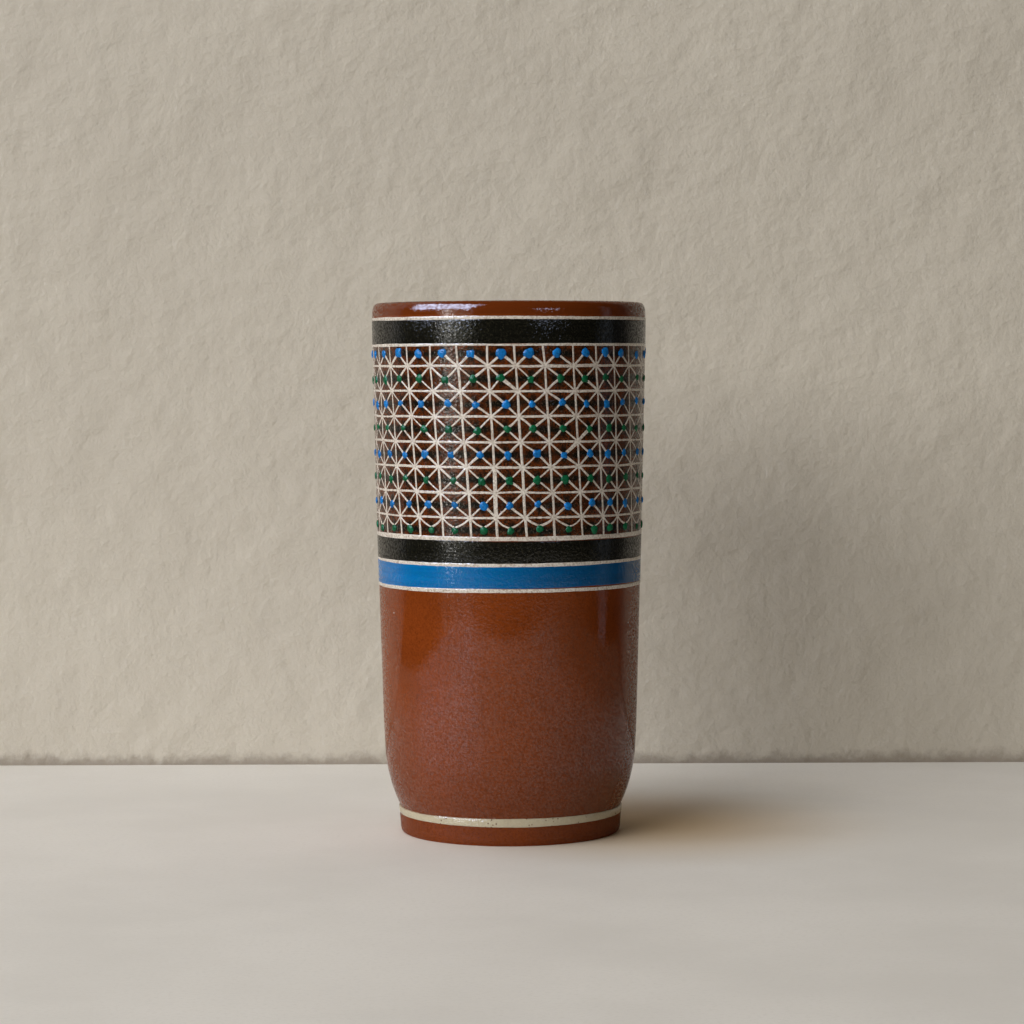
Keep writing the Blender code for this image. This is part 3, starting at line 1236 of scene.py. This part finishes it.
def copy_shaped(pattern, points):
    """A copy of a pattern piece, with its own mesh and new places for its vertices."""
    copy = pattern.copy()
    copy.data = pattern.data.copy()
    write_points(copy.data, points)
    bpy.context.scene.collection.objects.link(copy)
    return copy


def join_pieces(name, copies):
    """Joins copies into one piece."""
    deselect_all()
    for copy in copies:
        copy.select_set(True)
    bpy.context.view_layer.objects.active = copies[0]
    bpy.ops.object.join()
    piece = bpy.context.object
    piece.name = name
    piece.data.name = name
    return piece


def discard(pattern):
    """Removes a pattern piece once its copies are made."""
    mesh = pattern.data
    bpy.data.objects.remove(pattern)
    bpy.data.meshes.remove(mesh)


def lay_stroke(pattern, start, end, widths, thickness, bow):
    """One stroke from start to end on the flat layout, with its width at both ends and its bow."""
    unit = read_points(pattern.data)
    along = unit[:, 0] + 0.5
    run = end - start
    side = np.array([-run[1], run[0]]) / np.hypot(*run)
    offset = unit[:, 2] * (widths[0] + (widths[1] - widths[0]) * along) + bow * 4 * along * (1 - along)
    points = np.empty_like(unit)
    points[:, 0] = start[0] + run[0] * along + side[0] * offset
    points[:, 2] = start[1] + run[1] * along + side[1] * offset
    points[:, 1] = 2 * unit[:, 1] * thickness + BEDDING
    return copy_shaped(pattern, points)


class VASE_OT_trail_lattice(bpy.types.Operator):
    """Trails the lattice: column lines, ring lines and the short diagonals that make its stars"""

    bl_idname = "vase.trail_lattice"
    bl_label = "Trail Lattice"

    def execute(self, context):
        scene = context.scene
        painting = scene.vase_painting
        lattice = Lattice(painting)
        hand = Hand(painting.seed + 2)
        skin = Skin(scene.vase_clay)
        cream = bpy.data.materials["glazed_cream_slip"]
        pattern = model_stroke()
        groups = (
            ("column_lines", self.column_lines(pattern, lattice, hand)),
            ("ring_lines", self.ring_lines(pattern, lattice, hand)),
            ("diagonal_strokes", self.diagonals(pattern, lattice, hand)),
        )
        for name, strokes in groups:
            piece = join_pieces(name, strokes)
            skin.wrap(piece)
            finish_piece(piece, cream, ["lattice_net"])
        discard(pattern)
        return {"FINISHED"}

    def weight(self, column, ring, way):
        """How heavy a stroke is: 1 unless it is one of the few heavy ones."""
        return HEAVY_STROKES.get((column, ring, way), 1.0)

    def column_lines(self, pattern, lattice, hand):
        """The upright lines, cell by cell, heavier towards the bottom."""
        painting = lattice.painting
        strokes = []
        for column in range(lattice.columns):
            widths = [hand.around(painting.stroke_width, 0.16) for ring in range(lattice.rows + 1)]
            for ring in range(lattice.rows):
                weight = self.weight(lattice.from_front(column), ring, "down")
                grow = weight * (1 + 0.18 * ring / lattice.rows)
                start = lattice.crossing(column, ring)
                end = lattice.crossing(column, ring + 1)
                over = 0.4 * painting.stroke_width * np.sign(end - start) * (0, 1)
                strokes.append(
                    lay_stroke(
                        pattern,
                        start - over,
                        end + over,
                        (widths[ring] * grow, widths[ring + 1] * grow),
                        hand.around(painting.stroke_thickness, 0.15),
                        hand.stray(0.00008),
                    )
                )
        return strokes

    def ring_lines(self, pattern, lattice, hand):
        """The level lines, cell by cell."""
        painting = lattice.painting
        strokes = []
        for ring in range(1, lattice.rows):
            widths = [hand.around(painting.stroke_width, 0.18) for column in range(lattice.columns)]
            widths.append(widths[0])
            for column in range(lattice.columns):
                grow = 1.08 * self.weight(column, ring, "right")
                over = np.array([0.4 * painting.stroke_width, 0])
                strokes.append(
                    lay_stroke(
                        pattern,
                        lattice.crossing(column, ring) - over,
                        lattice.crossing(column + 1, ring) + over,
                        (widths[column] * grow, widths[column + 1] * grow),
                        hand.around(painting.stroke_thickness, 0.15),
                        hand.stray(0.00010),
                    )
                )
        return strokes

    def diagonals(self, pattern, lattice, hand):
        """From every crossing, a short stroke out to each of the four dots round it. It stops short of
        the dot's middle, and some are heavier than others. In the lowest row the lower strokes bow
        down round the dot and end just over it."""
        painting = lattice.painting
        ways = (
            ("up_left", -1, -1),
            ("up_right", 0, -1),
            ("down_left", -1, 0),
            ("down_right", 0, 0),
        )
        strokes = []
        for column in range(lattice.columns):
            for ring in range(1, lattice.rows):
                start = lattice.crossing(column, ring)
                for way, column_step, row_step in ways:
                    dot = lattice.dot(column + column_step, ring + row_step)
                    reach = hand.random.uniform(0.84, 0.97)
                    end = start + (dot - start) * reach + hand.random.normal(0, 0.00014, 2)
                    weight = self.weight(lattice.from_front(column), ring, way)
                    if ring == 1 and row_step == -1:
                        weight = max(weight, 1.18)
                    near = hand.around(painting.stroke_width * 0.88, 0.2) * weight
                    far = hand.around(painting.stroke_width * 0.94, 0.35) * weight
                    bow = hand.stray(0.00014)
                    if ring == lattice.rows - 1 and row_step == 0:
                        end = dot + np.array([0, 0.0011])
                        bow += 0.0005 if column_step else -0.0005
                    strokes.append(
                        lay_stroke(
                            pattern,
                            start,
                            end,
                            (near, far),
                            hand.around(painting.stroke_thickness, 0.2),
                            bow,
                        )
                    )
        return strokes


def drop_dot(pattern, centre, width, thickness, hand):
    """One dot: a blob that is never quite round. Some are drawn out into a tail, and some run a
    little way along the diagonals."""
    unit = read_points(pattern.data)
    turn = np.arctan2(unit[:, 2], unit[:, 0])
    reach = 2 * np.hypot(unit[:, 0], unit[:, 2])
    outline = 1 + 0.10 * hand.random.uniform(0, 1) * np.cos(2 * (turn - hand.random.uniform(0, math.pi)))
    outline += 0.07 * np.cos(3 * turn + hand.random.uniform(0, math.tau))
    outline += 0.05 * np.cos(5 * turn + hand.random.uniform(0, math.tau))
    kind = hand.random.uniform()
    if kind < 0.18:
        outline += 0.18 * np.cos(4 * (turn - math.pi / 4))
    elif kind < 0.32:
        tail = hand.random.uniform(-0.9, -0.5) * math.pi / 2
        outline += 0.35 * np.clip(np.cos(turn - tail), 0, 1) ** 3
    spread = 0.5 * width * outline * reach
    points = np.empty_like(unit)
    points[:, 0] = centre[0] + spread * np.cos(turn)
    points[:, 2] = centre[1] + spread * np.sin(turn) * hand.random.uniform(0.88, 1.0)
    depth = np.clip(-2 * unit[:, 1], 0, 1) ** 0.8
    points[:, 1] = BEDDING - (thickness + BEDDING) * depth
    return copy_shaped(pattern, points)


class VASE_OT_set_dots(bpy.types.Operator):
    """Sets the rows of raised enamel dots, blue and green in turn"""

    bl_idname = "vase.set_dots"
    bl_label = "Set Dots"

    def execute(self, context):
        scene = context.scene
        painting = scene.vase_painting
        colours = scene.vase_colours
        lattice = Lattice(painting)
        hand = Hand(painting.seed + 3)
        skin = Skin(scene.vase_clay)
        pattern = model_dot()
        materials = {
            "blue": dot_material("glazed_blue_dots", colours.blue_dot),
            "green": dot_material("glazed_green_dots", colours.green_dot),
        }
        for row, node in enumerate(DOT_ROWS):
            colour = node.split("_")[0]
            bigger = 1.2 if row == 0 else 1.0
            dots = []
            for column in range(lattice.columns):
                width = hand.around(painting.dot_width * bigger, 0.13)
                thickness = hand.around(painting.dot_thickness, 0.2)
                dots.append(drop_dot(pattern, lattice.dot(column, row), width, thickness, hand))
            piece = join_pieces(f"{colour}_dots_{row // 2 + 1}", dots)
            skin.wrap(piece)
            finish_piece(piece, materials[colour], [node])
        discard(pattern)
        return {"FINISHED"}


# The stage.


def aim(holder, target):
    """Turns a light or a camera towards a point."""
    holder.rotation_euler = (Vector(target) - holder.location).to_track_quat("-Z", "Y").to_euler()


def add_soft_light(name, place, target, width, height, power, colour):
    """A rectangular soft light."""
    deselect_all()
    bpy.ops.object.light_add(type="AREA", location=place)
    light = bpy.context.object
    light.name = name
    light.data.name = name
    light.data.shape = "RECTANGLE"
    light.data.size = width
    light.data.size_y = height
    light.data.energy = power
    light.data.color = colour
    aim(light, target)
    return light


class VASE_OT_set_stage(bpy.types.Operator):
    """Sets the bench, the backdrop, the lights and the camera"""

    bl_idname = "vase.set_stage"
    bl_label = "Set Stage"

    def execute(self, context):
        studio = context.scene.vase_studio
        self.add_bench(studio)
        self.add_backdrop(studio)
        self.add_lights(studio)
        self.add_garden(studio)
        self.set_world(context.scene)
        self.add_camera(context.scene, studio)
        return {"FINISHED"}

    def add_bench(self, studio):
        """A pale slab with softly rounded edges, and a warm painted shadow where the vase's shadow falls.
        """
        thick = 0.03
        depth = studio.backdrop_distance + studio.bench_front
        middle = (studio.backdrop_distance - studio.bench_front) / 2
        deselect_all()
        bpy.ops.mesh.primitive_cube_add(
            size=1, location=(0.04, middle, -thick / 2 - TINY), scale=(studio.bench_width, depth, thick)
        )
        bench = take_primitive("bench")
        bpy.ops.mesh.select_all(action="SELECT")
        bpy.ops.mesh.bevel(offset=0.004, segments=3, affect="EDGES")
        close_edit()
        light, dark = (0.86, 0.84, 0.80, 1.0), (0.76, 0.74, 0.70, 1.0)
        recipe = paper_material("bench_paint", light, dark, 0.6, 0.0002)
        recipe.wire(recipe.shader.inputs["Specular IOR Level"], 0.1)
        # Painted shade at the bench's far left and right.
        recipe.paint_side_shade((0.27, 0.45), (0.27, 0.45), (0.42, 0.38, 0.30, 1.0))
        # Painted shadow: a warm brown patch beside the vase's foot, where its shadow falls.
        apart = recipe.node("ShaderNodeVectorMath", operation="DISTANCE")
        recipe.wire(apart.inputs[0], recipe.place)
        recipe.wire(apart.inputs[1], (0.05, 0.01, 0))
        colour = recipe.shader.inputs["Base Color"]
        painted_warm_shadow = recipe.fade(apart.outputs["Value"], 0.11, 0.0, 0, 1.0)
        recipe.wire(colour, recipe.mix(painted_warm_shadow, colour.links[0].from_socket, (0.58, 0.43, 0.26, 1.0)))
        bench.data.materials.append(recipe.material)

    def add_backdrop(self, studio):
        """A plain plastered sheet with painted shade at its foot and ends; the view passes through from
        behind.
        """
        deselect_all()
        bpy.ops.mesh.primitive_grid_add(
            x_subdivisions=2,
            y_subdivisions=2,
            size=1,
            location=(0, studio.backdrop_distance, 0.5 - MILLIMETRE),
            rotation=(math.pi / 2, 0, 0),
        )
        backdrop = take_primitive("backdrop")
        bpy.ops.transform.resize(value=(2.4, 1, 1), center_override=(0, 0, 0))
        bpy.ops.object.mode_set(mode="OBJECT")
        light, dark = (0.60, 0.555, 0.465, 1.0), (0.55, 0.505, 0.42, 1.0)
        recipe = paper_material("backdrop_plaster", light, dark, 0.9, 0.0025)
        height = recipe.axes()[2]
        # Painted shade along the crease where the backdrop meets the bench.
        ragged = recipe.maths("MULTIPLY", recipe.noise(130, detail=4.0, roughness=0.7), 0.012)
        painted_crease_shade = recipe.fade(recipe.maths("SUBTRACT", height, ragged), 0.0, -0.006, 0, 0.6)
        colour = recipe.shader.inputs["Base Color"]
        recipe.wire(colour, recipe.mix(painted_crease_shade, colour.links[0].from_socket, (0.24, 0.19, 0.14, 1.0)))
        # Painted shade towards the far ends, which the glaze mirrors dark at the vase's edges.
        recipe.paint_side_shade((0.32, 1.15), (0.23, 0.6), (0.03, 0.027, 0.022, 1.0))
        side = recipe.node("ShaderNodeNewGeometry").outputs["Backfacing"]
        clear = recipe.node("ShaderNodeBsdfTransparent")
        either = recipe.node("ShaderNodeMixShader")
        recipe.wire(either.inputs[0], side)
        recipe.wire(either.inputs[1], recipe.shader.outputs[0])
        recipe.wire(either.inputs[2], clear.outputs[0])
        output = recipe.tree.nodes["Material Output"]
        recipe.wire(output.inputs["Surface"], either.outputs[0])
        backdrop.data.materials.append(recipe.material)

    def add_lights(self, studio):
        """A large window to the left, a softer light beside it and a faint one overhead light the
        scene. The glaze mirrors the window's pane, its sill, a gap at its foot, a window far off to
        the right and a narrow cool strip."""
        warm, cool, pale_cool = (1.0, 0.98, 0.95), (0.64, 0.73, 1.0), (0.72, 0.82, 1.0)
        pane, strip = studio.pane_power, studio.strip_power
        lights = (
            ("window", -38, 20, 3.6, (2.3, 1.4), studio.window_power, warm, "DIFFUSE"),
            ("window_side", -74, 24, 3.6, (1.5, 1.5), studio.side_power, warm, "DIFFUSE"),
            ("overhead", -50, 62, 1.7, (0.9, 0.9), studio.overhead_power, warm, "DIFFUSE"),
            ("window_pane", -60, 30, 2.0, (2.0, 1.35), pane, cool, "GLOSSY"),
            ("window_sill", -34, 9, 2.0, (0.13, 0.30), pane / 60, cool, "GLOSSY"),
            ("window_gap", -51, 2.7, 1.5, (0.09, 0.42), pane / 110, warm, "GLOSSY"),
            ("far_window", 33, 13, 2.0, (0.7, 0.12), strip * 10, cool, "GLOSSY"),
            ("cool_strip", 88, 6, 1.3, (0.21, 0.9), strip, pale_cool, "GLOSSY"),
        )
        for light in lights:
            self.hang_light(*light)

    def add_garden(self, studio):
        """The leafy view in the lower part of the window, which only glossy surfaces see."""
        turn = math.radians(-45.6)
        distance = 1.5
        deselect_all()
        middle = (distance * math.sin(turn), -distance * math.cos(turn), 0.16)
        bpy.ops.mesh.primitive_plane_add(size=1, location=middle, rotation=(math.pi / 2, 0, turn))
        garden = take_primitive("garden_view")
        bpy.ops.transform.resize(value=(0.77, 0.77, 0.60), center_override=middle)
        bpy.ops.object.mode_set(mode="OBJECT")
        recipe = Recipe("garden_light")
        leaves = recipe.noise(16, detail=2.0, roughness=0.6)
        leaf, sky = (0.04, 0.06, 0.035, 1), (1.0, 0.9, 0.8, 1)
        colour = recipe.mix(recipe.fade(leaves, 0.53, 0.59), leaf, sky)
        height = recipe.axes()[2]
        colour = recipe.mix(recipe.fade(height, 0.15, 0.05, 0, 0.8), colour, (0, 0, 0, 1))
        recipe.wire(recipe.shader.inputs["Base Color"], (0, 0, 0, 1))
        recipe.wire(recipe.shader.inputs["Emission Color"], colour)
        recipe.wire(recipe.shader.inputs["Emission Strength"], studio.garden_brightness)
        garden.data.materials.append(recipe.material)
        garden.visible_camera = garden.visible_diffuse = garden.visible_shadow = False

    def hang_light(self, name, turn, rise, distance, size, power, colour, kind):
        """A soft light seen from the vase at an angle to the right of the front and above level, in
        degrees. A DIFFUSE light lights the scene and isn't mirrored in glaze, a GLOSSY one is only
        mirrored."""
        middle = Vector((0, 0, 0.12))
        turn, rise = math.radians(turn), math.radians(rise)
        level = math.cos(rise)
        way = Vector((level * math.sin(turn), -level * math.cos(turn), math.sin(rise)))
        light = add_soft_light(name, middle + distance * way, middle, *size, power, colour)
        light.visible_diffuse = kind == "DIFFUSE"
        light.visible_glossy = kind == "GLOSSY"

    def set_world(self, scene):
        """Faint soft light from all round. The view sees it pale, and the glaze mirrors it dark."""
        world = bpy.data.worlds.new("studio_air")
        world.use_nodes = True
        scene.world = world
        tree = world.node_tree
        background = tree.nodes["Background"]
        path = tree.nodes.new("ShaderNodeLightPath")
        mirrored = tree.nodes.new("ShaderNodeMix")
        mirrored.data_type = "RGBA"
        mirrored.inputs[6].default_value = (0.082, 0.067, 0.050, 1)
        mirrored.inputs[7].default_value = (0.010, 0.009, 0.008, 1)
        tree.links.new(path.outputs["Is Glossy Ray"], mirrored.inputs["Factor"])
        seen = tree.nodes.new("ShaderNodeMix")
        seen.data_type = "RGBA"
        seen.inputs[7].default_value = (0.48, 0.45, 0.40, 1)
        tree.links.new(path.outputs["Is Camera Ray"], seen.inputs["Factor"])
        tree.links.new(mirrored.outputs[2], seen.inputs[6])
        tree.links.new(seen.outputs[2], background.inputs["Color"])
        scene.view_settings.view_transform = "Standard"

    def add_camera(self, scene, studio):
        """A long lens a little below the height of the rim, looking slightly down."""
        deselect_all()
        bpy.ops.object.camera_add(
            location=(0.0012, -studio.camera_distance, studio.camera_height),
            rotation=(math.radians(90 - 2.91), math.radians(0.2), 0),
        )
        camera = bpy.context.object
        camera.name = "camera"
        camera.data.sensor_width = 36
        camera.data.lens = 104
        scene.camera = camera


class VASE_PT_builder(bpy.types.Panel):
    """Lists the vase's settings and the steps that build it"""

    bl_idname = "VASE_PT_builder"
    bl_label = "Slip-Decorated Vase"
    bl_space_type = "VIEW_3D"
    bl_region_type = "UI"
    bl_category = "Vase"

    def draw(self, context):
        layout = self.layout
        for group in SETTINGS:
            settings = getattr(context.scene, group)
            box = layout.box()
            for name in settings.__annotations__:
                box.prop(settings, name)
        for step in STEPS:
            layout.operator(step.bl_idname)


SETTINGS = {
    "vase_clay": VaseClay,
    "vase_painting": VasePainting,
    "vase_colours": VaseColours,
    "vase_studio": VaseStudio,
}
STEPS = (
    VASE_OT_turn_wall,
    VASE_OT_turn_foot,
    VASE_OT_lay_floor,
    VASE_OT_line_inside,
    VASE_OT_paint_bands,
    VASE_OT_trail_lattice,
    VASE_OT_set_dots,
    VASE_OT_set_stage,
)


def register():
    for name, group in SETTINGS.items():
        bpy.utils.register_class(group)
        setattr(bpy.types.Scene, name, bpy.props.PointerProperty(type=group))
    for step in STEPS:
        bpy.utils.register_class(step)
    bpy.utils.register_class(VASE_PT_builder)


def unregister():
    bpy.utils.unregister_class(VASE_PT_builder)
    for step in reversed(STEPS):
        bpy.utils.unregister_class(step)
    for name, group in SETTINGS.items():
        delattr(bpy.types.Scene, name)
        bpy.utils.unregister_class(group)


def main():
    """Builds the vase and its stage."""
    register()
    bpy.ops.vase.turn_wall()
    bpy.ops.vase.turn_foot()
    bpy.ops.vase.lay_floor()
    bpy.ops.vase.line_inside()
    bpy.ops.vase.paint_bands()
    bpy.ops.vase.trail_lattice()
    bpy.ops.vase.set_dots()
    bpy.ops.vase.set_stage()


if __name__ == "__main__":
    main()
